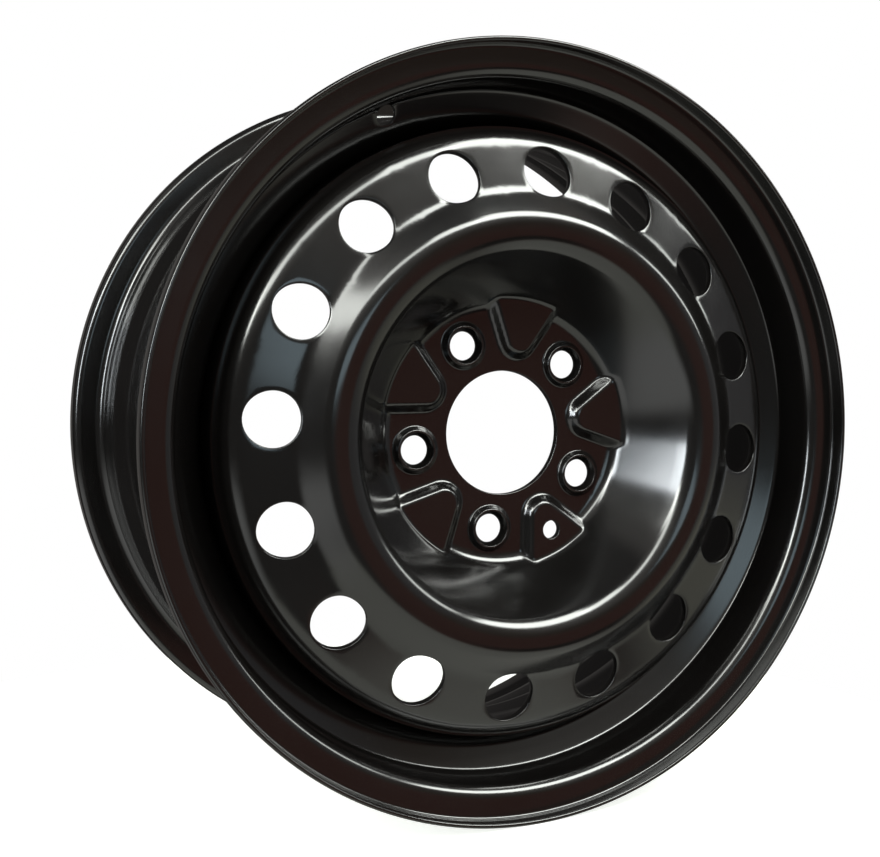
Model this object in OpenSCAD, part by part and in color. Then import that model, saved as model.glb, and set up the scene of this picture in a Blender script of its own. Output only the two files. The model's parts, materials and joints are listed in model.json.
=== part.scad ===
// Pressed steel wheel rim, 16 x 7 J, five studs on 114.3 mm.
// Axis of the wheel along Y, outboard side towards -Y, Z up.
// Origin on the axis in the plane of the hub contact face.

/* [Rim hoop] */
// Bead seat diameter of the rim
seat_dia = 405.6; // [390:0.2:420]
// Width between the two flanges, tyre side
rim_width = 177.8; // [165.1:0.1:203.2]
// Sheet thickness of the rim hoop
rim_t = 2.6; // [2:0.1:3.2]
// Height of a flange above its bead seat
flange_h = 17.3; // [16:0.1:19]
// Width of the flange curl outside its tyre wall
flange_lip = 12.7; // [12:0.1:15]
// Diameter of the well, tyre side
well_dia = 360; // [354:0.5:364]
// Diameter of the valve hole
valve_dia = 11.5; // [8:0.1:13]
// Clock angle of the valve hole from the top, seen from outside
valve_turn = 337; // [330:0.5:345]

/* [Disc] */
// Rim middle plane to hub contact face
offset = 47; // [43:0.5:51]
// Sheet thickness of the disc
disc_t = 4.4; // [3.4:0.1:5]
// Centre bore diameter
bore_dia = 73.1; // [60:0.1:76]
// Depth of the hub bowl below the crest
bowl_depth = 46.3; // [42:0.1:48]
// Radius of the outer bend of the disc
rim_bend = 18; // [14:0.5:20]
// Length of the disc flange behind the outer bend
skirt_l = 30; // [26:0.5:36]
// Gap left between the disc flange and the well
fit_gap = 0.05; // [0.02:0.01:0.1]

/* [Wheel studs] */
// Number of stud holes
studs = 5; // [5:1:5]
// Stud circle diameter
pcd = 114.3; // [112:0.1:120]
// Diameter of a stud hole
stud_hole = 16.8; // [14:0.1:18]
// Height of a stud seat above the hub face
seat_h = 3.4; // [2.5:0.1:4]
// Clock angle of the first stud hole from the top
stud_turn = 45.4; // [0:0.1:72]
// Diameter of the locating pin hole
pin_dia = 11; // [8:0.1:12]
// Radius of the locating pin hole from the axis
pin_r = 66; // [63:0.5:70]

/* [Raised panels] */
// Height of a raised panel above the hub face
panel_h = 6; // [4:0.1:7]
// Radius of the round inner end of a panel
panel_end = 7.9; // [6.5:0.1:9]
// Half angle between the two sides of a panel
panel_fan = 27.5; // [24:0.1:29]

/* [Vent holes] */
// Number of vent holes
vents = 16; // [12:1:18]
// Diameter of a vent hole
vent_dia = 30; // [24:0.5:31]
// Radius of the vent circle
vent_r = 150.4; // [148:0.1:152]
// Tilt of the vent band out of the wheel plane
vent_tilt = 15; // [11:0.5:18]
// Clock angle of the first vent hole from the top
vent_turn = 4.8; // [0:0.1:22.5]

/* [Welds] */
// Number of weld runs
welds = 8; // [4:1:10]
// Angle taken up by one weld run
weld_arc = 28; // [16:1:32]
// Leg of a weld run
weld_leg = 4; // [3:0.1:4.2]

/* [Hidden] */
// Largest angle between two points on a bend
bend_step = 7.5;
// Half of the bead seat diameter
seat_r = seat_dia / 2;
// Outer radius of the flanges
flange_r = seat_r + flange_h;
// Radius of the well on its tyre side
well_r = well_dia / 2;
// Overall width over both lips
lip_width = rim_width + 2 * flange_lip;
// Place of the outboard lip along the axis
lip_z = offset - lip_width / 2;
// Slope of the bead seats
seat_slope = 5;
// Slope of the outboard well wall
wall_slope = 24;
// Length of a bead seat before its hump
seat_l = 17.8;
// Rise of a hump above the end of its bead seat
hump_h = 0.8;
// Bend of a flange into its lip, tyre side
lip_bend = 4.6;
// Bend of a bead seat into its flange, tyre side
seat_bend = 5.5;
// Bend of a bead seat into its hump
hump_bend = 16;
// Radius at the end of a bead seat
top_r = seat_r - seat_l * tan(seat_slope);
// Radius of the humps
hump_r = top_r + hump_h;
// Distance from the lip to the corner of hump and outboard well wall
wall_z = flange_lip + 28.9;
// Radius of the middle of the valve hole
valve_r = seat_r - 8.7;
// Place of the middle of the valve hole along the axis, half way through the sheet
valve_z = lip_z + wall_z + (hump_r - valve_r) * tan(wall_slope) - rim_t / 2 / cos(wall_slope);
// Outboard face of the disc at the hub
face_z = -disc_t;
// Outboard face of the disc at the crest
crest_z = face_z - bowl_depth;
// Slope of the bowl wall from the axis
bowl_slope = 35.2;
// Outer radius of the bowl floor
bowl_r = 75.5;
// Bend of the bowl floor into the bowl wall
bowl_bend = 10;
// Bend of the bowl wall into the crest
crest_bend = 16;
// Radius where the crest would meet the bowl wall
lip_r = bowl_r + bowl_depth * tan(bowl_slope);
// Width of the crest between its two corners
crest_w = 14.84;
// Radius where the crest would meet the step
crest_r = lip_r + crest_w;
// Slope of the step from the crest to the vent band
step_slope = 35.2;
// Height of the vent circle below the crest
vent_drop = 14.1;
// Place of the vent circle along the axis
vent_z = crest_z + vent_drop;
// Radius where the step meets the vent band
band_r = (vent_drop - vent_r * tan(vent_tilt) + crest_r * tan(step_slope))
    / (tan(step_slope) - tan(vent_tilt));
// Outer radius of the disc flange
skirt_r = well_r - rim_t - fit_gap;
// Place where the vent band would meet the disc flange
skirt_z = vent_z + (skirt_r - vent_r) * tan(vent_tilt);
// Free end of the disc flange
skirt_end = skirt_z + rim_bend * tan((90 - vent_tilt) / 2) + skirt_l;
// Small overlap of a cutter past a face
over = 1;
// Facets of a full circle
$fn = 96;

// Sub-part to draw

function unit(v) = v / norm(v);

function left_of(v) = [-v[1], v[0]];

function xy(p) = [p[0], p[1]];

// Points of one bend of a sheet, on the face lying d to the left of the path
function bend(a, b, c, r, d) =
    let (u = unit(b - a), w = unit(c - b), s = sign(cross(u, w)))
    let (turn = acos(u * w), n = max(2, ceil(turn / bend_step)))
    let (m = b - u * r * tan(turn / 2) + left_of(u) * s * r)
    let (a0 = atan2(-s * left_of(u)[1], -s * left_of(u)[0]))
    [for (i = [0 : n]) let (q = a0 + s * turn * i / n) m + (r - s * d) * [cos(q), sin(q)]];

// One face of a sheet that follows a path of [x, y, bend radius]
function face(path, d) =
    let (e = len(path) - 1)
    let (u0 = unit(xy(path[1]) - xy(path[0])), u1 = unit(xy(path[e]) - xy(path[e - 1])))
    concat(
        [xy(path[0]) + left_of(u0) * d],
        [for (i = [1 : e - 1]) each bend(xy(path[i - 1]), xy(path[i]), xy(path[i + 1]), path[i][2], d)],
        [xy(path[e]) + left_of(u1) * d]
    );

function back_to_front(p) = [for (i = [len(p) - 1 : -1 : 0]) p[i]];

// Half round end from the point a to the point b, bulging to the right of a to b
function round_end(a, b) =
    let (m = (a + b) / 2, v = a - m)
    [for (i = [1 : 5]) let (q = i * 30) m + [v[0] * cos(q) - v[1] * sin(q), v[0] * sin(q) + v[1] * cos(q)]];

// Tyre side of the outboard half of the rim, as [radius, distance from lip, bend radius]
function out_path() = [
    [flange_r, rim_t / 2, 0],
    [flange_r, flange_lip, lip_bend],
    [seat_r, flange_lip, seat_bend],
    [top_r, flange_lip + seat_l, hump_bend],
    [hump_r, wall_z, 6.5],
    [well_r, wall_z + (hump_r - well_r) * tan(wall_slope), 12]
];

// Tyre side of the inboard half of the rim, from the well to the inboard lip
function in_path() =
    let (w = lip_width)
    [
        [well_r, w * 0.5, 12],
        [well_r + 14.5, w * 0.5 + 13, 14],
        [well_r + 16.5, w - 52, 14],
        [hump_r, w - flange_lip - 28, 8],
        [top_r, w - flange_lip - seat_l, hump_bend],
        [seat_r, w - flange_lip, seat_bend],
        [flange_r, w - flange_lip, lip_bend],
        [flange_r, w - rim_t / 2, 0]
    ];

// Visible face of the disc from the bore to the free end of its flange
function disc_path() = [
    [bore_dia / 2, face_z, 0],
    [bowl_r, face_z, bowl_bend],
    [lip_r, crest_z, crest_bend],
    [crest_r, crest_z, 14],
    [band_r, vent_z + (band_r - vent_r) * tan(vent_tilt), 14],
    [skirt_r, skirt_z, rim_bend],
    [skirt_r, skirt_end, 0]
];

// Stand a wheel turned about Z up on its axis
module upright() {
    rotate([-90, 0, 0])
        children();
}

// Put a thing drawn on the X axis at a clock angle seen from outside
module clock(turn) {
    rotate([0, 0, turn - 90])
        children();
}

// Outline of a raised panel, its sides and round end grown by g, out to radius v1
function panel_line(g, v1) =
    let (v0 = 56.8, e = panel_end + g, u1 = (v1 - v0) * tan(panel_fan) + e / cos(panel_fan))
    concat(
        [[v1, u1]],
        [for (i = [0 : 10]) let (q = panel_fan + i * (90 - panel_fan) / 5) [v0 - e * sin(q), e * cos(q)]],
        [[v1, -u1]]
    );

// Solid that narrows in rings of [growth, height], towards -Z
module panel(rings, v1) {
    n = len(panel_line(0, v1));
    k = len(rings);
    pts = [for (q = rings) each [for (p = panel_line(q[0], v1)) [p[0], p[1], -q[1]]]];
    sides = [for (i = [0 : k - 2]) each [for (j = [0 : n - 1])
        [i * n + j, i * n + (j + 1) % n, (i + 1) * n + (j + 1) % n, (i + 1) * n + j]]];
    low = [for (j = [0 : n - 1]) n - 1 - j];
    high = [for (j = [0 : n - 1]) (k - 1) * n + j];
    polyhedron(points = pts, faces = concat([low], sides, [high]), convexity = 4);
}

// Soft slope of a panel from the hub face to its flat
function panel_rings(g, low) = [
    [6 + g, low],
    [5 + g, panel_h * 0.06],
    [3.4 + g, panel_h * 0.3],
    [1.4 + g, panel_h * 0.78],
    [0.5 + g, panel_h * 0.95],
    [-0.5 + g, panel_h]
];

// Raised panels on the outboard side, kept inside the sheet of the bowl wall
module panels_front() {
    intersection() {
        for (i = [0 : studs - 1]) {
            clock(stud_turn + (i + 0.5) * 360 / studs)
                translate([0, 0, face_z])
                    panel(panel_rings(0, -disc_t * 0.3), 96);
        }
        translate([0, 0, face_z - 12])
            cylinder(h = 16, r1 = bowl_r + 2.7 + 12 * tan(bowl_slope), r2 = bowl_r + 2.7 - 4 * tan(bowl_slope));
    }
}

// Hollows behind the raised panels
module panels_back() {
    for (i = [0 : studs - 1]) {
        clock(stud_turn + (i + 0.5) * 360 / studs)
            panel(panel_rings(-1.8, -over), 110);
    }
}

// Raised ring of one stud seat
module stud_boss() {
    translate([pcd / 2, 0, face_z - seat_h])
        cylinder(h = seat_h + disc_t * 0.3, r1 = stud_hole / 2 + 3.3, r2 = stud_hole / 2 + 6.6);
}

// Hole, cone seat and rear dimple of one stud seat
module stud_cut() {
    translate([pcd / 2, 0, 0]) {
        translate([0, 0, face_z - seat_h - over])
            cylinder(h = disc_t + seat_h + 2 * over, d = stud_hole);
        translate([0, 0, face_z - seat_h - over])
            cylinder(h = 3.8 + over, r1 = stud_hole / 2 + 2.2 * (3.8 + over) / 3.8, r2 = stud_hole / 2);
        translate([0, 0, -1.8])
            cylinder(h = 1.8 + over, r1 = stud_hole / 2 + 1, r2 = stud_hole / 2 + 1 + (1.8 + over) * 1.5);
    }
}

// One vent hole, square to the vent band
module vent_cut() {
    translate([vent_r, 0, vent_z])
        rotate([0, -vent_tilt, 0])
            translate([0, 0, -10])
                cylinder(h = 24, d = vent_dia);
}

// Valve hole, square to the outboard well wall
module valve_cut() {
    translate([valve_r, 0, valve_z])
        rotate([0, wall_slope, 0])
            translate([0, 0, -12])
                cylinder(h = 24, d = valve_dia);
}

// Rolled hoop with two flanges, two bead seats and a drop centre
module rim() {
    path = concat(out_path(), in_path());
    tyre = face(path, 0);
    inner = face(path, rim_t);
    e = len(tyre) - 1;
    ring = concat(
        tyre,
        round_end(tyre[e], inner[e]),
        back_to_front(inner),
        round_end(inner[0], tyre[0])
    );
    color([0.09, 0.085, 0.085])
        upright()
            difference() {
                translate([0, 0, lip_z])
                    rotate_extrude()
                        polygon(ring);
                clock(valve_turn)
                    valve_cut();
            }
}

// Pressed disc with hub bowl, raised panels, stud seats and vent holes
module disc() {
    path = disc_path();
    front = face(path, 0);
    rear = face(path, disc_t);
    color([0.1, 0.095, 0.09])
        upright()
            difference() {
                union() {
                    rotate_extrude()
                        polygon(concat(front, back_to_front(rear)));
                    panels_front();
                    for (i = [0 : studs - 1]) {
                        clock(stud_turn + i * 360 / studs)
                            stud_boss();
                    }
                }
                panels_back();
                for (i = [0 : studs - 1]) {
                    clock(stud_turn + i * 360 / studs)
                        stud_cut();
                }
                for (i = [0 : vents - 1]) {
                    clock(vent_turn + i * 360 / vents)
                        vent_cut();
                }
                clock(stud_turn + 1.5 * 360 / studs)
                    translate([pin_r, 0, face_z - panel_h - over])
                        cylinder(h = panel_h + disc_t + 2 * over, d = pin_dia);
            }
}

// Fillet runs that hold the disc flange in the well, on the inboard side
module weld_beads() {
    r = well_r - rim_t - fit_gap;
    z = skirt_end + fit_gap;
    color([0.13, 0.125, 0.12])
        upright()
            for (i = [0 : welds - 1]) {
                clock((i + 0.5) * 360 / welds)
                    rotate([0, 0, -weld_arc / 2])
                        rotate_extrude(angle = weld_arc)
                            polygon([
                                [r, z],
                                [r, z + weld_leg],
                                [r - weld_leg * 0.4, z + weld_leg * 0.85],
                                [r - weld_leg * 0.85, z + weld_leg * 0.4],
                                [r - weld_leg, z]
                            ]);
            }
}

rim();
disc();
weld_beads();
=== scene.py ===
"""Gloss black pressed steel wheel rim, standing upright in a plain white studio."""
import json
import math

import bmesh
import bpy
import numpy as np
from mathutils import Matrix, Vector


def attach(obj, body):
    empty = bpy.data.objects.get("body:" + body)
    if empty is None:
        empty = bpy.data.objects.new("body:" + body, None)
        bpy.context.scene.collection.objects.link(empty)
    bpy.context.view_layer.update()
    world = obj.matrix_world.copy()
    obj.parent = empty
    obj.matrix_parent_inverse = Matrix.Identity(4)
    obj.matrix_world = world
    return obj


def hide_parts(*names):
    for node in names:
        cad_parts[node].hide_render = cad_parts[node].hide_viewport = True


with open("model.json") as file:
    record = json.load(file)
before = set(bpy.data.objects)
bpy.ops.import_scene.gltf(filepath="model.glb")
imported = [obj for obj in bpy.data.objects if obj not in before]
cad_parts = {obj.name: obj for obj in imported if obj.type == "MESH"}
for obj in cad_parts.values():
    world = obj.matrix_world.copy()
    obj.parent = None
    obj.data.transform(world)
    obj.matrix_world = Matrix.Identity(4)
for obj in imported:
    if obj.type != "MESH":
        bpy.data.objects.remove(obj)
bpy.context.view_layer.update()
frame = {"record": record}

MM = 0.001

# Fits that the record states, in millimetres as all sizes of the wheel below
MOUNTS = {m["name"]: m["dims"] for m in frame["record"]["mounts"]}
BORE_R = MOUNTS["center_bore"]["r_mm"]
DISC_T = MOUNTS["center_bore"]["length_mm"]
STUDS = MOUNTS["stud_holes"]["count"]
STUD_PCR = MOUNTS["stud_holes"]["pcd_mm"] / 2
STUD_HOLE = MOUNTS["stud_holes"]["hole_r_mm"]
PIN_HOLE = MOUNTS["pin_hole"]["r_mm"]
VALVE_HOLE = MOUNTS["valve_hole"]["r_mm"]
RIM_T = MOUNTS["valve_hole"]["length_mm"]

# Rim hoop with its bead seats, humps and well, measured on its tyre side
RIM_WIDTH = 177.8
OFFSET = 47.0
SEAT_R = 202.8
SEAT_L = 17.8
SEAT_SLOPE = math.radians(5)
SEAT_TOP_R = SEAT_R - SEAT_L * math.tan(SEAT_SLOPE)
SEAT_BEND = 5.5
FLANGE_H = 17.3
FLANGE_R = SEAT_R + FLANGE_H
FLANGE_LIP = 12.7
LIP_BEND = 4.6
LIP_WIDTH = RIM_WIDTH + 2 * FLANGE_LIP
LIP_Y = OFFSET - LIP_WIDTH / 2
HUMP_H = 0.8
HUMP_R = SEAT_TOP_R + HUMP_H
HUMP_BEND = 16.0
WALL_AT = 28.9
WALL_Y = FLANGE_LIP + WALL_AT
WALL_SLOPE = math.radians(24)
WALL_BEND = 6.5
WELL_R = 180.0
WELL_BEND = 12.0

# Inboard shoulder between the well and the inboard hump
SHOULDER_R = WELL_R + 14.5
SHOULDER_END_R = WELL_R + 16.5
SHOULDER_Y = LIP_WIDTH / 2 + 13.0
SHOULDER_END_Y = LIP_WIDTH - 52.0
SHOULDER_BEND = 14.0
INNER_HUMP_Y = LIP_WIDTH - FLANGE_LIP - 28.0
INNER_HUMP_BEND = 8.0

# Valve hole in the outboard wall of the well
VALVE_TURN = 337.0
VALVE_DROP = 8.7
VALVE_AT_R = SEAT_R - VALVE_DROP + RIM_T / 2 * math.sin(WALL_SLOPE)
VALVE_EDGE = 0.4

# Disc pressing, measured on its outboard face
FACE_Y = -DISC_T
BORE_LAND = 2.0
BORE_EDGE = 0.6
BOWL_R = 75.5
BOWL_DEPTH = 46.3
BOWL_SLOPE = math.radians(35.2)
BOWL_BEND = 10.0
BOWL_LIP_R = BOWL_R + BOWL_DEPTH * math.tan(BOWL_SLOPE)
CREST_R = 123.0
CREST_Y = FACE_Y - BOWL_DEPTH
CREST_BEND = 16.0
STEP_SLOPE = math.radians(35.2)
STEP_BEND = 14.0
VENTS = 16
VENT_R = 150.4
VENT_HOLE = 15.0
VENT_EDGE = 0.5
VENT_TURN = 4.8
VENT_TILT = math.radians(15)
VENT_DROP = 14.1
VENT_Y = CREST_Y + VENT_DROP
FIT_GAP = 0.05
SKIRT_R = WELL_R - RIM_T - FIT_GAP
SKIRT_Y = VENT_Y + (SKIRT_R - VENT_R) * math.tan(VENT_TILT)
SKIRT_BEND = 18.0
SKIRT_L = 30.0
SKIRT_END_Y = SKIRT_Y + SKIRT_BEND * math.tan((math.pi / 2 - VENT_TILT) / 2) + SKIRT_L
SKIRT_EDGE = 0.5

# Stud seats, raised panels and pin hole of the hub face
STUD_TURN = 45.4
RING_OUT = 14.8
RING_H = 3.4
RING_FOOT_R = STUD_HOLE + 5.4
RING_TOP_R = STUD_HOLE + 3.2
CONE_R = STUD_HOLE + 2.1
CONE_END = 0.4
DIMPLE = 1.8
DIMPLE_FLOOR_R = STUD_HOLE + 1.0
DIMPLE_R = STUD_HOLE + 3.7
PANEL_H = 6.0
PANEL_END = 7.9
PANEL_FAN = math.radians(27.5)
PANEL_MID = 56.8
PANEL_FOOT = 6.0
PANEL_SLOPE_WIDTH = 6.5
PANEL_BLEND = 2.4
PANEL_REAR_INSET = 1.8
PIN_R = 66.0
PIN_TURN = STUD_TURN + 1.5 * 360 / STUDS
PIN_OUT = 7.6
PIN_EDGE = 0.5

# Weld runs on the free end of the disc flange
WELDS = 8
WELD_ARC = 28.0
WELD_LEG = 4.0
# Shares by which the face of a run bulges past a straight fillet
WELD_CROWN, WELD_FULL = 0.125, 0.12
WELD_STEPS = 150
WELD_ROWS = 14
# Share of a run over which each end rounds off
WELD_END = 1 / 36
# Ripples along a run: height as a share of the leg, number of waves, start in radians
WELD_RIPPLES = ((0.05, 34.0, 0.0), (0.02, 13.3, 1.0))

# Fineness of the meshes: points round the wheel, the hub face's grid and the windows round holes
TURNS = 320
HUB_STEP = 1.35
HUB_END_R = 93.0
HUB_FADE = 4.0
VENT_BAND_R = (131.5, 168.5)
VENT_ROWS = 16
VENT_LAYERS = 6
VALVE_SPAN = 10.5
VALVE_ROWS = 15
VALVE_COLS = 12
VALVE_LAYERS = 5
ROW_GAP = 1.0
LIP_ROWS = 11
INSERT_FADE = 2.0
# Under 1, the rings of a window lie closer together near its hole
CROWDING = 0.85
EDGE_ANGLES = np.radians([30, 60, 90])
# Points at which a path is read off closely, a length of no account, and the reach of a merge in metres
FINE = 6000
TINY = 1e-6
MERGE = 2e-6

# Paints: darkest and lightest colour, roughness and strength of the orange peel
GLOSS_PAINT = ((0.0030, 0.0026, 0.0024), (0.0046, 0.0041, 0.0039), 0.17, 0.0015)
WELD_PAINT = ((0.0040, 0.0036, 0.0034), (0.0080, 0.0072, 0.0068), 0.30, 0.30)
COAT_ROUGHNESS = 0.14
PEEL_DEPTH = 0.0002
# Noise in the paint: waves a metre, octaves and their roughness, and the range that is stretched
DRIFT = (9.0, 3.0, 0.5)
HAZE = (38.0, 4.0, 0.6)
WAVE = (160.0, 1.0, 0.5)
GRAIN = (750.0, 1.0, 0.5)
NOISE_RANGE = (0.3, 0.7)
# Least and most roughness that the haze gives, as shares of the paint's own
HAZE_LOW, HAZE_HIGH = 0.85, 1.2

# Colours of the dim room that the gloss reflects
RUST = (0.165, 0.075, 0.062)
UMBER = (0.118, 0.095, 0.076)
GREY_WALL = (0.16, 0.16, 0.165)
PALE_FOOT = (0.37, 0.37, 0.31)
DARK_WALL = (0.075, 0.073, 0.070)
LIT_GROUND = (0.58, 0.59, 0.53)
DIM_GROUND = (0.25, 0.24, 0.21)
GROUND_EDGE = (0.030, 0.028, 0.028)
NEAR_GROUND = (0.75, 0.76, 0.74)
UPPER_WALL = (0.33, 0.32, 0.30)
LIT_SIDE = (0.55, 0.53, 0.51)
CEILING = (0.08, 0.08, 0.08)
BEHIND = (0.035, 0.033, 0.032)
FAR_BEHIND = (0.10, 0.095, 0.09)

# Strip lights across the front: first and last turn and rise in degrees, depth in metres, radiance
STRIP_FAR = 3.0
STRIP_TINT = (0.97, 1.0, 0.95)
STRIPS = {
    "strip_right": (20, 62, 56, 1.20, 9.5),
    "strip_end": (62, 78, 49, 0.80, 4.5),
    "strip_top": (-5, 20, 50.5, 0.78, 8.5),
    "strip_middle": (-40, -5, 46, 0.50, 6.0),
    "strip_left": (-66, -40, 46, 0.62, 7.0),
}
# Window lights: turn and rise in degrees and distance, width and height in metres, radiance, tint
WINDOWS = {
    "window": ((-4, 10, 3.0), (1.25, 0.60), 1.2, (0.70, 0.90, 1.0)),
    "left_window": ((-69.5, 14.5, 3.0), (0.42, 1.25), 11.0, (0.92, 0.97, 1.0)),
    "left_frame": ((-71, 14.5, 3.1), (0.60, 1.50), 1.2, (0.80, 0.92, 1.0)),
    "left_high": ((-60, 32, 3.0), (0.45, 1.10), 8.0, STRIP_TINT),
}

# Floor, in metres
FLOOR_GAP = 0.0002
FLOOR_Z = -FLANGE_R * MM - FLOOR_GAP
FLOOR_MID = (-0.08, 0.04)
FLOOR_R = 0.43
FLOOR_SIDES = 96
FLOOR_COLOUR = (0.76, 0.78, 0.74, 1)
FLOOR_GLOW = (0.98, 1.0, 0.96, 1)
# The glow's levels at two distances from the middle of the floor
GLOW_LEVELS = (0.86, 1.0)
GLOW_FROM, GLOW_TO = 0.4 * FLOOR_R, 0.9 * FLOOR_R

# Camera: width of the picture, focal length and centre in its pixels, place in metres, way in degrees
PICTURE_W = 880.0
FOCAL_PX = 1322.08
CENTRE_PX = 550.1
SENSOR_MM = 36.0
CAMERA_AT = (-0.35333, -0.70254, 0.04513)
CAMERA_YAW = 28.89
CAMERA_PITCH = -3.13


def unit(v):
    return v / np.linalg.norm(v)


def left(v):
    """The vectors v turned a quarter turn to the left."""
    return np.stack([-v[..., 1], v[..., 0]], -1)


class Path:
    """Straights and arcs through points of (radius, depth, bend radius), followed by length."""

    def __init__(self, rows):
        pts = [np.array(r[:2], float) for r in rows]
        self.parts = []
        self.stops = [0.0]
        here = pts[0]
        for i in range(1, len(pts) - 1):
            u, w = unit(pts[i] - pts[i - 1]), unit(pts[i + 1] - pts[i])
            side = math.copysign(1.0, u[0] * w[1] - u[1] * w[0])
            turn = math.acos(max(-1.0, min(1.0, float(u @ w))))
            r = rows[i][2]
            start = pts[i] - u * r * math.tan(turn / 2)
            self._line(here, start)
            self.parts.append(("arc", start + side * r * left(u), r, side, u))
            self.stops.append(self.stops[-1] + r * turn)
            here = pts[i] + w * r * math.tan(turn / 2)
        self._line(here, pts[-1])
        self.length = self.stops[-1]

    def _line(self, a, b):
        self.parts.append(("line", a, 0.0, 0.0, unit(b - a)))
        self.stops.append(self.stops[-1] + float(np.linalg.norm(b - a)))

    def at(self, s, depth=0.0):
        """Points at the lengths s, moved to the left of the path by depth, and the way left is."""
        s = np.atleast_1d(np.asarray(s, float))
        out, way = np.zeros(s.shape + (2,)), np.zeros(s.shape + (2,))
        k = np.clip(np.searchsorted(self.stops, s, side="right") - 1, 0, len(self.parts) - 1)
        for i, (kind, p, r, side, u) in enumerate(self.parts):
            m = k == i
            d = (s[m] - self.stops[i])[..., None]
            if kind == "line":
                out[m], way[m] = p + u * d, u
            else:
                a = side * d / r
                way[m] = u * np.cos(a) + left(u) * np.sin(a)
                out[m] = p - side * r * left(way[m])
        return out + left(way) * np.asarray(depth)[..., None], left(way)

    def steps(self, s0, s1, arc, line):
        """Lengths from s0 to s1, at most arc degrees apart on the arcs and line apart on the straights."""
        out = [s0]
        for i, part in enumerate(self.parts):
            a, b = max(self.stops[i], s0), min(self.stops[i + 1], s1)
            if b - a < TINY:
                continue
            n = (b - a) / line if part[0] == "line" else math.degrees((b - a) / part[2]) / arc
            out += list(np.linspace(a, b, max(1, math.ceil(n)) + 1)[1:])
        return np.array(out)

    def reach(self, r):
        """First length at which the path gets to the radius r."""
        s = np.linspace(0, self.length, FINE)
        past = self.at(s)[0][:, 0] - r
        i = int(np.argmax(past[:-1] * past[1:] <= 0))
        return float(s[i] + (s[i + 1] - s[i]) * past[i] / (past[i] - past[i + 1]))


def place(ry, turn):
    """Points of (radius, depth) at clock angles in degrees, as metres in the wheel's frame."""
    t = np.radians(turn)
    r, y = ry[..., 0], ry[..., 1]
    return np.stack([r * np.sin(t), y + 0 * t, r * np.cos(t)], -1) * MM


class Shell:
    """Quads gathered from grids of points, welded where the grids meet."""

    def __init__(self):
        self.points, self.quads, self.count = [], [], 0

    def add(self, pts, out, around=True, keep=None):
        """A grid of rows of points; out is the (radial, axial) way its first row should face."""
        m, n = pts.shape[:2]
        idx = np.arange(m * n).reshape(m, n) + self.count
        if around:
            idx = np.concatenate([idx, idx[:, :1]], 1)
        q = np.stack([idx[:-1, :-1], idx[:-1, 1:], idx[1:, 1:], idx[1:, :-1]], -1)
        if keep is not None:
            q = q[keep]
        q = q.reshape(-1, 4)
        flat = pts.reshape(-1, 3)
        a, b, c, d = (flat[q[:, i] - self.count] for i in range(4))
        face = np.cross(c - a, d - b)
        big = int(np.argmax((face ** 2).sum(1)[: max(1, len(q) // max(1, m - 1))]))
        spoke = unit(np.array([a[big][0], 0.0, a[big][2]]))
        if face[big] @ (spoke * out[0] + np.array([0, out[1], 0])) < 0:
            q = q[:, ::-1]
        self.points.append(flat)
        self.quads.append(q)
        self.count += m * n

    def mesh(self, name):
        """A new object with the gathered quads."""
        pts, quads = np.concatenate(self.points), np.concatenate(self.quads)
        me = bpy.data.meshes.new(name)
        me.from_pydata(pts.tolist(), [], quads.tolist())
        bm = bmesh.new()
        bm.from_mesh(me)
        bmesh.ops.remove_doubles(bm, verts=bm.verts, dist=MERGE)
        loose = [v for v in bm.verts if not v.link_faces]
        bmesh.ops.delete(bm, geom=loose, context="VERTS")
        bm.to_mesh(me)
        bm.free()
        me.polygons.foreach_set("use_smooth", [True] * len(me.polygons))
        me.update()
        return add_object(name, me)


def add_object(name, data):
    ob = bpy.data.objects.new(name, data)
    bpy.context.scene.collection.objects.link(ob)
    return ob


def around_turns():
    """Clock angles of the points round the wheel, with one at the first vent hole."""
    return np.arange(TURNS) * 360.0 / TURNS + VENT_TURN


def facing(path, s, front):
    """The (radial, axial) way that the front or rear face of a sheet looks."""
    n = path.at([s])[1][0]
    return -n if front else n


def turned(shell, ry, out):
    """A section of (radius, depth) turned about the wheel axis."""
    shell.add(place(ry[:, None, :], around_turns()[None, :]), out)


def sheet_ring(shell, path, s, depth, front):
    """One face of a turned sheet over the lengths s."""
    turned(shell, path.at(s, depth)[0], facing(path, (s[0] + s[1]) / 2, front))


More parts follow.
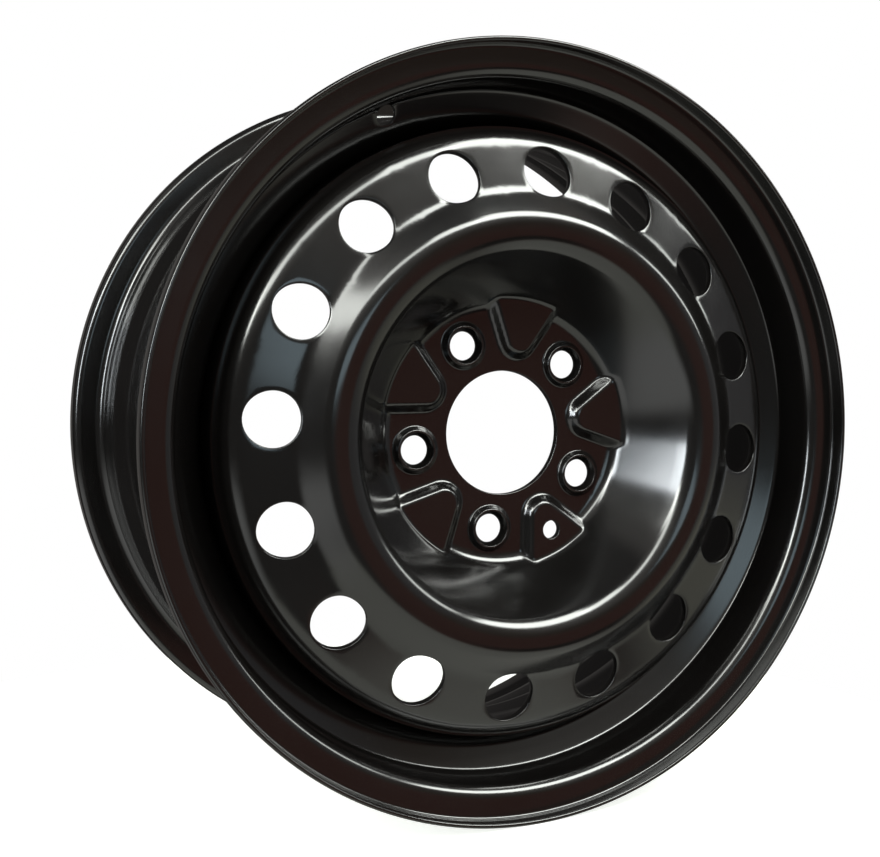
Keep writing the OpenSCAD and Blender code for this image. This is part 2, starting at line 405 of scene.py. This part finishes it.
def holed_patch(shell, path, t, rows, cols, s_mid, turn_mid, hole, layers, edge):
    """A window of a turned sheet of thickness t with one round hole straight through both faces."""
    a, b = rows, cols
    rim_s = np.concatenate([np.full(len(b) - 1, a[0]), a[:-1], np.full(len(b) - 1, a[-1]), a[:0:-1]])
    rim_t = np.concatenate([b[:-1], np.full(len(a) - 1, b[-1]), b[:0:-1], np.full(len(a) - 1, b[0])])
    mid, near = (v[0] for v in path.at([s_mid]))
    q = np.arctan2(np.radians(rim_t - turn_mid) * mid[0], rim_s - s_mid)
    along = np.array([near[1], -near[0]])
    grid = np.linspace(a[0], a[-1], FINE)

    def circle(rho, depth):
        """A ring of radius rho about the hole's axis, on the sheet at the depth."""
        flat = (path.at(grid, depth)[0] - path.at([s_mid], depth)[0]) @ along
        s = np.interp(rho * np.cos(q), flat, grid)
        return s, turn_mid + np.degrees(rho * np.sin(q) / path.at(s, depth)[0][:, 0]), depth

    def one_face(depth, inwards):
        """Rings from the edge of the window to the hole's wall, over its rounded edge."""
        cs, ct, _ = circle(hole + edge, depth)
        rings = []
        for f in np.linspace(0, 1, layers + 1) ** CROWDING:
            rings.append((rim_s * (1 - f) + cs * f, rim_t * (1 - f) + ct * f, depth))
        for w in EDGE_ANGLES:
            deep = depth + inwards * edge * (1 - math.cos(w))
            rings.append(circle(hole + edge * (1 - math.sin(w)), deep))
        return rings

    rings = one_face(0.0, 1) + one_face(t, -1)[::-1]
    pts = np.stack([place(path.at(s, d)[0], tt) for s, tt, d in rings])
    shell.add(pts, facing(path, a[0], True))


def hub_holes():
    """Centre and outer radius of each stud seat and of the pin hole, in the plane of the hub face."""
    rows = [(STUD_PCR, STUD_TURN + i * 360 / STUDS, RING_OUT) for i in range(STUDS)]
    rows.append((PIN_R, PIN_TURN, PIN_OUT))
    return [(place(np.array([r, 0.0]), turn) / MM, rad) for r, turn, rad in rows]


def turned_insert(shell, path, front, rear, centre, outer):
    """A small turned form from the edge of a hole in the front face to its edge in the rear face."""
    s = path.steps(0, path.length, arc=18.0, line=1.5)
    dy = path.at(s)[0]
    way = (front - centre) * (1, 0, 1)
    way /= np.linalg.norm(way, axis=1, keepdims=True)
    near = np.clip((dy[:, :1] - outer + INSERT_FADE) / INSERT_FADE, 0, 1)
    first = np.arange(len(s))[:, None] < len(s) / 2
    lift = near * np.where(first, front[:, 1] - dy[0, 1], rear[:, 1] - dy[-1, 1])
    pts = centre + dy[:, :1, None] * way
    pts[..., 1] = dy[:, 1:] + lift
    pts[0], pts[-1] = front, rear
    shell.add(pts * MM, (0, -1))


def disc_path():
    """Outboard face of the disc from the bore to the free end of its flange."""
    step, tilt = math.tan(STEP_SLOPE), math.tan(VENT_TILT)
    band_r = (VENT_DROP - VENT_R * tilt + CREST_R * step) / (step - tilt)
    return Path(
        [
            (BORE_R, FACE_Y, 0),
            (BOWL_R, FACE_Y, BOWL_BEND),
            (BOWL_LIP_R, CREST_Y, CREST_BEND),
            (CREST_R, CREST_Y, STEP_BEND),
            (band_r, VENT_Y + (band_r - VENT_R) * tilt, STEP_BEND),
            (SKIRT_R, SKIRT_Y, SKIRT_BEND),
            (SKIRT_R, SKIRT_END_Y, 0),
        ]
    )


def soft_max(a, b, k):
    """The larger of two heights with a blend that fades out where both are small."""
    k = np.minimum(k, a + b) + TINY
    return np.maximum(a, b) + np.maximum(k - np.abs(a - b), 0) ** 2 / (4 * k)


def panel_height(r, turn, inset):
    """Height of the raised panels over the hub face, with their outline drawn in by inset."""
    far = 99.0
    best = np.full(np.broadcast(r, turn).shape, far)
    for i in range(STUDS):
        d = np.radians(turn - STUD_TURN - (i + 0.5) * 360 / STUDS)
        v, u = r * np.cos(d) - PANEL_MID, np.abs(r * np.sin(d))
        side = u * math.cos(PANEL_FAN) - v * math.sin(PANEL_FAN)
        along = u * math.sin(PANEL_FAN) + v * math.cos(PANEL_FAN)
        gap = np.where(along > 0, side, np.hypot(u, v)) - PANEL_END
        best = np.minimum(best, np.where(np.cos(d) > 0, gap, far))
    x = np.clip((PANEL_FOOT - (best + inset)) / PANEL_SLOPE_WIDTH, 0, 1)
    return PANEL_H * x * x * (3 - 2 * x)


def hub_heights(path, s_join, depth, zero_y, inset):
    """Radii and clock angles of a grid over the hub face, and its heights over zero_y."""
    end_r, end_y = path.at([s_join], depth)[0][0]
    start_r = BORE_R + BORE_LAND
    inner = np.arange(start_r + 1, end_r - 0.5 * HUB_STEP, HUB_STEP)
    r = np.concatenate([[start_r], inner, [end_r]])
    rr, tt = np.meshgrid(r, around_turns(), indexing="ij")
    sheet = path.at(np.linspace(0, s_join, FINE), depth)[0]
    low = zero_y - np.interp(rr, sheet[:, 0], sheet[:, 1])
    high = soft_max(low, panel_height(rr, tt, inset), PANEL_BLEND)
    fade = np.clip((rr - (end_r - HUB_FADE)) / HUB_FADE, 0, 1)
    high = high * (1 - fade) + low * fade
    high[-1] = zero_y - end_y
    return rr, tt, high


def with_neighbours(mask):
    """The points of a grid that are in the mask or next to it."""
    near = np.zeros_like(mask)
    for a in (-1, 0, 1):
        for b in (-1, 0, 1):
            near |= np.roll(mask, (a, b), (0, 1))
    return near


def fit_to_holes(x, z):
    """Grid points with those next to a hole moved onto its edge, those inside, and each edge."""
    gone, edges = np.zeros(x.shape, bool), []
    for (cx, _, cz), rad in hub_holes():
        dx, dz = x - cx, z - cz
        d = np.maximum(np.hypot(dx, dz), TINY)
        inside = d < rad
        edge = with_neighbours(inside) & ~inside
        x = np.where(edge, cx + dx / d * rad, x)
        z = np.where(edge, cz + dz / d * rad, z)
        gone |= inside
        edges.append(edge)
    return x, z, gone, edges


def open_edges(pts, edges, keep):
    """The points of the kept quads round each hole, in the order of their angle about its centre."""
    used = np.zeros(pts.shape[:2], bool)
    for i in (0, 1):
        for j in (0, 1):
            used[i : i + len(keep)] |= np.roll(keep, j, 1)
    loops = []
    for edge, (centre, _) in zip(edges, hub_holes()):
        loop = pts[edge & used]
        turn = np.arctan2(loop[:, 0] - centre[0], loop[:, 2] - centre[2])
        loops.append(loop[np.argsort(turn)])
    return loops


def hub_face(shell, path, s_join, depth, zero_y, inset, front):
    """The hub face with its raised panels; gives the edges left open for the seats and the pin hole."""
    rr, tt, high = hub_heights(path, s_join, depth, zero_y, inset)
    x, z, gone, edges = fit_to_holes(rr * np.sin(np.radians(tt)), rr * np.cos(np.radians(tt)))
    pts = np.stack([x, zero_y - high, z], -1)
    g = np.concatenate([gone, gone[:, :1]], 1)
    keep = ~(g[:-1, :-1] | g[:-1, 1:] | g[1:, 1:] | g[1:, :-1])
    shell.add(pts * MM, (0, -1 if front else 1), keep=keep)
    return open_edges(pts, edges, keep)


def stud_path():
    """Section of a stud seat: raised ring, cone, hole and rear dimple."""
    return Path(
        [
            (RING_OUT, FACE_Y, 0),
            (RING_FOOT_R, FACE_Y, 1.4),
            (RING_TOP_R, FACE_Y - RING_H, 0.9),
            (CONE_R, FACE_Y - RING_H, 0.35),
            (STUD_HOLE, FACE_Y + CONE_END, 0.8),
            (STUD_HOLE, -DIMPLE, 0.2),
            (DIMPLE_FLOOR_R, -DIMPLE, 0.2),
            (DIMPLE_R, 0, 0.8),
            (RING_OUT, 0, 0),
        ]
    )


def hole_path(radius, outer, front_y, rear_y, bend):
    """Section of a plain hole with rounded edges."""
    return Path([(outer, front_y, 0), (radius, front_y, bend), (radius, rear_y, bend), (outer, rear_y, 0)])


def add_hub(shell, path, s_join):
    """Both faces of the hub with the bore's edge, the stud seats and the pin hole."""
    edge = hole_path(BORE_R, BORE_R + BORE_LAND, FACE_Y, 0, BORE_EDGE)
    turned(shell, edge.at(edge.steps(0, edge.length, arc=15, line=2))[0], (0, -1))
    fronts = hub_face(shell, path, s_join, 0.0, FACE_Y, 0.0, True)
    rears = hub_face(shell, path, s_join, DISC_T, 0.0, PANEL_REAR_INSET, False)
    pin = hole_path(PIN_HOLE, PIN_OUT, FACE_Y - PANEL_H, -PANEL_H, PIN_EDGE)
    forms = [stud_path()] * STUDS + [pin]
    for form, front, rear, (centre, outer) in zip(forms, fronts, rears, hub_holes()):
        turned_insert(shell, form, front, rear, centre, outer)


def add_vents(shell, path, s0, s1):
    """The vent band between two lengths, one window for each hole."""
    s_mid = path.reach(VENT_R)
    rows = np.linspace(s0, s1, VENT_ROWS)
    per = TURNS // VENTS
    for i in range(VENTS):
        mid = VENT_TURN + i * 360 / VENTS
        cols = mid + (np.arange(per + 1) - per / 2) * 360.0 / TURNS
        holed_patch(shell, path, DISC_T, rows, cols, s_mid, mid, VENT_HOLE, VENT_LAYERS, VENT_EDGE)


def add_skirt_end(shell, path):
    """The free end of the disc flange with its two edges broken."""
    e, c = path.length, SKIRT_EDGE
    front = [(e - c, 0.0), (e - 0.3 * c, 0.3 * c), (e, c)]
    rear = [(s, DISC_T - d) for s, d in front[::-1]]
    turned(shell, np.concatenate([path.at([s], d)[0] for s, d in front + rear]), (1, 0.5))


def build_disc():
    """The pressed disc, one closed sheet from the bore to the end of its flange."""
    path = disc_path()
    shell = Shell()
    s_join = path.reach(HUB_END_R)
    s0, s1 = (path.reach(r) for r in VENT_BAND_R)
    add_hub(shell, path, s_join)
    bowl = path.steps(s_join, s0, arc=5, line=8)
    skirt = path.steps(s1, path.length - SKIRT_EDGE, arc=5, line=10)
    for s in (bowl, skirt):
        sheet_ring(shell, path, s, 0.0, True)
        sheet_ring(shell, path, s, DISC_T, False)
    add_vents(shell, path, s0, s1)
    add_skirt_end(shell, path)
    return shell.mesh("disc_pressing")


def rim_path():
    """Tyre side of the rim from the outboard lip to the inboard lip."""
    w = LIP_WIDTH
    rows = [
        (FLANGE_R, RIM_T / 2, 0),
        (FLANGE_R, FLANGE_LIP, LIP_BEND),
        (SEAT_R, FLANGE_LIP, SEAT_BEND),
        (SEAT_TOP_R, FLANGE_LIP + SEAT_L, HUMP_BEND),
        (HUMP_R, WALL_Y, WALL_BEND),
        (WELL_R, WALL_Y + (HUMP_R - WELL_R) * math.tan(WALL_SLOPE), WELL_BEND),
        (WELL_R, w / 2, WELL_BEND),
        (SHOULDER_R, SHOULDER_Y, SHOULDER_BEND),
        (SHOULDER_END_R, SHOULDER_END_Y, SHOULDER_BEND),
        (HUMP_R, INNER_HUMP_Y, INNER_HUMP_BEND),
        (SEAT_TOP_R, w - FLANGE_LIP - SEAT_L, HUMP_BEND),
        (SEAT_R, w - FLANGE_LIP, SEAT_BEND),
        (FLANGE_R, w - FLANGE_LIP, LIP_BEND),
        (FLANGE_R, w - RIM_T / 2, 0),
    ]
    return Path([(r, y + LIP_Y, b) for r, y, b in rows])


def add_round_lip(shell, path, end, way):
    """The half round edge of a lip, at one end of the path."""
    outer, inner = (path.at([end], depth)[0][0] for depth in (0.0, RIM_T))
    mid, arm = (outer + inner) / 2, (outer - inner) / 2
    ahead = np.array([0, way]) * RIM_T / 2
    q = np.radians(np.linspace(0, 180, LIP_ROWS))[:, None]
    turned(shell, mid + arm * np.cos(q) + ahead * np.sin(q), (1, 0))


def add_valve_band(shell, path, s_valve, rows):
    """The ring of the rim that holds the valve hole, over the lengths in rows."""
    step = 360.0 / TURNS
    first = round(((VALVE_TURN - VENT_TURN) % 360) / step) - VALVE_COLS // 2
    keep = np.ones((len(rows) - 1, TURNS), bool)
    keep[:, first : first + VALVE_COLS] = False
    for depth, front in ((0.0, True), (RIM_T, False)):
        pts = place(path.at(rows, depth)[0][:, None, :], around_turns()[None, :])
        shell.add(pts, facing(path, rows[0], front), keep=keep)
    cols = VENT_TURN + (first + np.arange(VALVE_COLS + 1)) * step
    holed_patch(shell, path, RIM_T, rows, cols, s_valve, VALVE_TURN, VALVE_HOLE, VALVE_LAYERS, VALVE_EDGE)


def build_rim():
    """The rolled rim, one closed sheet between its two round lips."""
    path = rim_path()
    shell = Shell()
    s_valve = path.reach(VALVE_AT_R)
    s0, s1 = s_valve - VALVE_SPAN, s_valve + VALVE_SPAN
    s_all = path.steps(0, path.length, arc=7, line=14)
    before = np.concatenate([s_all[s_all < s0 - ROW_GAP], [s0]])
    after = np.concatenate([[s1], s_all[s_all > s1 + ROW_GAP]])
    for s in (before, after):
        sheet_ring(shell, path, s, 0.0, True)
        sheet_ring(shell, path, s, RIM_T, False)
    add_valve_band(shell, path, s_valve, np.linspace(s0, s1, VALVE_ROWS))
    add_round_lip(shell, path, 0.0, -1.0)
    add_round_lip(shell, path, path.length, 1.0)
    return shell.mesh("rim_hoop")


def weld_depths(x, q):
    """How far a run reaches from its corner, at shares x of its length and the angle q in its section."""
    end = np.clip(np.minimum(x, 1 - x) / WELD_END, 0, 1)
    size = WELD_LEG * np.sqrt(1 - (1 - end) ** 2)
    ripple = sum(h * np.sin(x * 2 * math.pi * waves + start) for h, waves, start in WELD_RIPPLES)
    crown = math.sin(2 * q)
    fill = (1 + WELD_CROWN * crown ** 2) / (1 - WELD_FULL * crown)
    reach = size * fill * (1 + ripple * crown) / (math.cos(q) + math.sin(q))
    return np.minimum(reach, WELD_LEG)


def build_welds():
    """Fillet runs with ripples and rounded ends, on the edge of the disc flange."""
    shell = Shell()
    corner_y = SKIRT_END_Y + FIT_GAP
    x = np.linspace(0, 1, WELD_STEPS)
    corner = np.stack([np.full(WELD_STEPS, SKIRT_R), np.full(WELD_STEPS, corner_y)], -1)
    section = [corner]
    for q in np.linspace(0, math.pi / 2, WELD_ROWS):
        section.append(corner + weld_depths(x, q)[:, None] * (-math.cos(q), math.sin(q)))
    section.append(corner)
    for i in range(WELDS):
        turn = (i + 0.5) * 360 / WELDS + (x - 0.5) * WELD_ARC
        shell.add(np.stack([place(row, turn) for row in section]), (0, -1), around=False)
    return shell.mesh("weld_runs")


def map_range(tree, value, start, end, low, high, kind):
    n = tree.nodes.new("ShaderNodeMapRange")
    n.interpolation_type = kind
    for k, v in (("From Min", start), ("From Max", end), ("To Min", low), ("To Max", high)):
        n.inputs[k].default_value = v
    tree.links.new(value, n.inputs["Value"])
    return n.outputs["Result"]


def spread(tree, value, low, high):
    """The middle range of a noise, stretched from low to high."""
    return map_range(tree, value, *NOISE_RANGE, low, high, "LINEAR")


def ramp(tree, value, start, end, low=0.0, high=1.0):
    """A soft rise from low to high as the value goes from start to end."""
    return map_range(tree, value, start, end, low, high, "SMOOTHSTEP")


def maths(tree, operation, a, b):
    n = tree.nodes.new("ShaderNodeMath")
    n.operation = operation
    tree.links.new(a, n.inputs[0])
    tree.links.new(b, n.inputs[1])
    return n.outputs[0]


def blend(tree, factor, a, b):
    """Colour a where the factor is 0 and b where it is 1."""
    n = tree.nodes.new("ShaderNodeMix")
    n.data_type = "RGBA"
    tree.links.new(factor, n.inputs["Factor"])
    for slot, c in (("A", a), ("B", b)):
        if isinstance(c, tuple):
            n.inputs[slot].default_value = c + (1,)
        else:
            tree.links.new(c, n.inputs[slot])
    return n.outputs["Result"]


def noise(tree, coord, scale, detail, rough):
    n = tree.nodes.new("ShaderNodeTexNoise")
    n.inputs["Scale"].default_value = scale
    n.inputs["Detail"].default_value = detail
    n.inputs["Roughness"].default_value = rough
    tree.links.new(coord, n.inputs["Vector"])
    return n.outputs["Fac"]


def new_material(name):
    """A material with nodes, its tree and its shader."""
    mat = bpy.data.materials.new(name)
    mat.use_nodes = True
    return mat, mat.node_tree, mat.node_tree.nodes["Principled BSDF"]


def paint(name, dark, light, rough, peel):
    """Stoved black paint: even colour with faint drift, a clear gloss and a fine orange peel."""
    mat, tree, bsdf = new_material(name)
    coord = tree.nodes.new("ShaderNodeTexCoord").outputs["Object"]
    drift = spread(tree, noise(tree, coord, *DRIFT), 0, 1)
    tree.links.new(blend(tree, drift, dark, light), bsdf.inputs["Base Color"])
    haze = spread(tree, noise(tree, coord, *HAZE), rough * HAZE_LOW, rough * HAZE_HIGH)
    tree.links.new(haze, bsdf.inputs["Roughness"])
    bump = tree.nodes.new("ShaderNodeBump")
    bump.inputs["Strength"].default_value = peel
    bump.inputs["Distance"].default_value = PEEL_DEPTH
    height = maths(tree, "ADD", noise(tree, coord, *GRAIN), noise(tree, coord, *WAVE))
    tree.links.new(height, bump.inputs["Height"])
    tree.links.new(bump.outputs["Normal"], bsdf.inputs["Normal"])
    bsdf.inputs["Specular IOR Level"].default_value = 0.5
    bsdf.inputs["Coat Weight"].default_value = 1.0
    bsdf.inputs["Coat Roughness"].default_value = COAT_ROUGHNESS
    return mat


def soft_box(name, at, target, size, radiance, color):
    """A rectangular light of the given radiance that the camera doesn't see."""
    light = bpy.data.lights.new(name, "AREA")
    light.shape = "RECTANGLE"
    light.size, light.size_y = size
    light.energy = radiance * 4 * size[0] * size[1]
    light.color = color
    ob = add_object(name, light)
    ob.location = at
    ob.visible_camera = False
    ob.rotation_euler = (Vector(target) - ob.location).to_track_quat("-Z", "Y").to_euler()


def towards(turn, rise, far):
    """A place seen from the wheel at a turn from its axis and a rise, in degrees."""
    a, b = math.radians(turn), math.radians(rise)
    return (math.sin(a) * math.cos(b) * far, -math.cos(a) * math.cos(b) * far, math.sin(b) * far)


def strip(name, start, end, rise, deep, radiance):
    """A straight strip light across the front, seen from the wheel between two turns in degrees."""
    _, y, z = towards(0, rise, STRIP_FAR)
    x0, x1 = (-y * math.tan(math.radians(a)) for a in (start, end))
    mid = (x0 + x1) / 2
    soft_box(name, (mid, y, z), (mid, 0, 0), (x1 - x0, deep), radiance, STRIP_TINT)


def lay(tree, under, colour, *where):
    """A colour laid over another where every ramp of (value, start, end) has risen."""
    share = ramp(tree, *where[0])
    for one in where[1:]:
        share = maths(tree, "MULTIPLY", share, ramp(tree, *one))
    return blend(tree, share, under, colour)


def room_colour(tree):
    """Colour of the dim room in each direction, built up from its front wall to what lies behind."""
    way = tree.nodes.new("ShaderNodeSeparateXYZ")
    tree.links.new(tree.nodes.new("ShaderNodeTexCoord").outputs["Generated"], way.inputs[0])
    x, y, z = way.outputs
    wall = lay(tree, RUST, UMBER, (z, -0.02, 0.22))
    wall = lay(tree, wall, GREY_WALL, (x, 0.60, 0.74))
    wall = lay(tree, wall, PALE_FOOT, (x, 0.62, 0.80), (z, -0.08, -0.30))
    wall = lay(tree, wall, DARK_WALL, (x, 0.25, -0.15))
    ground = lay(tree, LIT_GROUND, DIM_GROUND, (x, 0.50, 0.80))
    wall = lay(tree, wall, ground, (z, -0.50, -0.66))
    edge = (z, -0.34, -0.42), (z, -0.61, -0.54), (x, 0.28, 0.40), (x, 0.73, 0.64)
    wall = lay(tree, wall, GROUND_EDGE, *edge)
    wall = lay(tree, wall, NEAR_GROUND, (z, -0.12, -0.32), (x, -0.40, -0.75))
    wall = lay(tree, wall, UPPER_WALL, (z, 0.20, 0.55), (x, 0.70, 0.35), (x, -0.85, -0.50))
    wall = lay(tree, wall, LIT_SIDE, (y, -0.05, 0.20), (z, -0.05, 0.40), (x, 0.05, -0.60))
    wall = lay(tree, wall, CEILING, (z, 0.80, 0.90))
    wall = lay(tree, wall, BEHIND, (y, 0.10, 0.50))
    return lay(tree, wall, FAR_BEHIND, (y, 0.88, 0.97))


def room():
    """White behind the wheel for the camera, and a dim room for its light and reflections."""
    world = bpy.data.worlds.new("studio")
    bpy.context.scene.world = world
    world.use_nodes = True
    tree = world.node_tree
    dim = tree.nodes["Background"]
    tree.links.new(room_colour(tree), dim.inputs["Color"])
    white = tree.nodes.new("ShaderNodeBackground")
    white.inputs["Color"].default_value = (1, 1, 1, 1)
    mix = tree.nodes.new("ShaderNodeMixShader")
    seen = tree.nodes.new("ShaderNodeLightPath").outputs["Is Camera Ray"]
    tree.links.new(seen, mix.inputs["Fac"])
    tree.links.new(dim.outputs[0], mix.inputs[1])
    tree.links.new(white.outputs[0], mix.inputs[2])
    tree.links.new(mix.outputs[0], tree.nodes["World Output"].inputs["Surface"])


def floor_material():
    """Pale and matt, with a glow for the camera that runs out to white at the edge."""
    mat, tree, bsdf = new_material("pale_floor")
    bsdf.inputs["Base Color"].default_value = FLOOR_COLOUR
    bsdf.inputs["Roughness"].default_value = 0.9
    bsdf.inputs["Specular IOR Level"].default_value = 0.1
    bsdf.inputs["Emission Color"].default_value = FLOOR_GLOW
    span = tree.nodes.new("ShaderNodeVectorMath")
    span.operation = "DISTANCE"
    span.inputs[1].default_value = FLOOR_MID + (FLOOR_Z,)
    tree.links.new(tree.nodes.new("ShaderNodeTexCoord").outputs["Object"], span.inputs[0])
    glow = ramp(tree, span.outputs["Value"], GLOW_FROM, GLOW_TO, *GLOW_LEVELS)
    seen = tree.nodes.new("ShaderNodeLightPath").outputs["Is Camera Ray"]
    tree.links.new(maths(tree, "MULTIPLY", glow, seen), bsdf.inputs["Emission Strength"])
    return mat


def floor():
    """A round pale floor under the wheel that takes its shadow."""
    angles = np.linspace(0, 2 * math.pi, FLOOR_SIDES, endpoint=False)
    x, y = FLOOR_MID
    ring = [(x + FLOOR_R * math.cos(a), y + FLOOR_R * math.sin(a), FLOOR_Z) for a in angles]
    me = bpy.data.meshes.new("floor")
    me.from_pydata(ring, [], [tuple(range(FLOOR_SIDES))])
    me.materials.append(floor_material())
    ob = add_object("floor", me)
    ob.visible_glossy = False


def studio():
    """Room, floor and lights."""
    room()
    floor()
    for name, values in STRIPS.items():
        strip(name, *values)
    for name, (at, size, radiance, tint) in WINDOWS.items():
        soft_box(name, towards(*at), (0, 0, 0), size, radiance, tint)


def camera():
    """The camera, whose axis meets the picture to the right of its middle."""
    cam = bpy.data.cameras.new("camera")
    cam.sensor_width = SENSOR_MM
    cam.lens = FOCAL_PX * SENSOR_MM / PICTURE_W
    cam.shift_x = -(CENTRE_PX - PICTURE_W / 2) / PICTURE_W
    ob = add_object("camera", cam)
    ob.location = CAMERA_AT
    yaw, pitch = math.radians(CAMERA_YAW), math.radians(CAMERA_PITCH)
    way = Vector((math.sin(yaw) * math.cos(pitch), math.cos(yaw) * math.cos(pitch), math.sin(pitch)))
    ob.rotation_euler = way.to_track_quat("-Z", "Y").to_euler()
    bpy.context.scene.camera = ob


def wheel():
    """The three pieces of the wheel in the place of their solids."""
    black = paint("black_paint", *GLOSS_PAINT)
    weld = paint("black_paint_weld", *WELD_PAINT)
    for build, name, mat in (
        (build_rim, "rim", black),
        (build_disc, "disc", black),
        (build_welds, "weld_beads", weld),
    ):
        ob = build()
        ob.data.materials.append(mat)
        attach(ob, "root")
        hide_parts(name)


wheel()
studio()
camera()
bpy.context.scene.view_settings.view_transform = "Standard"
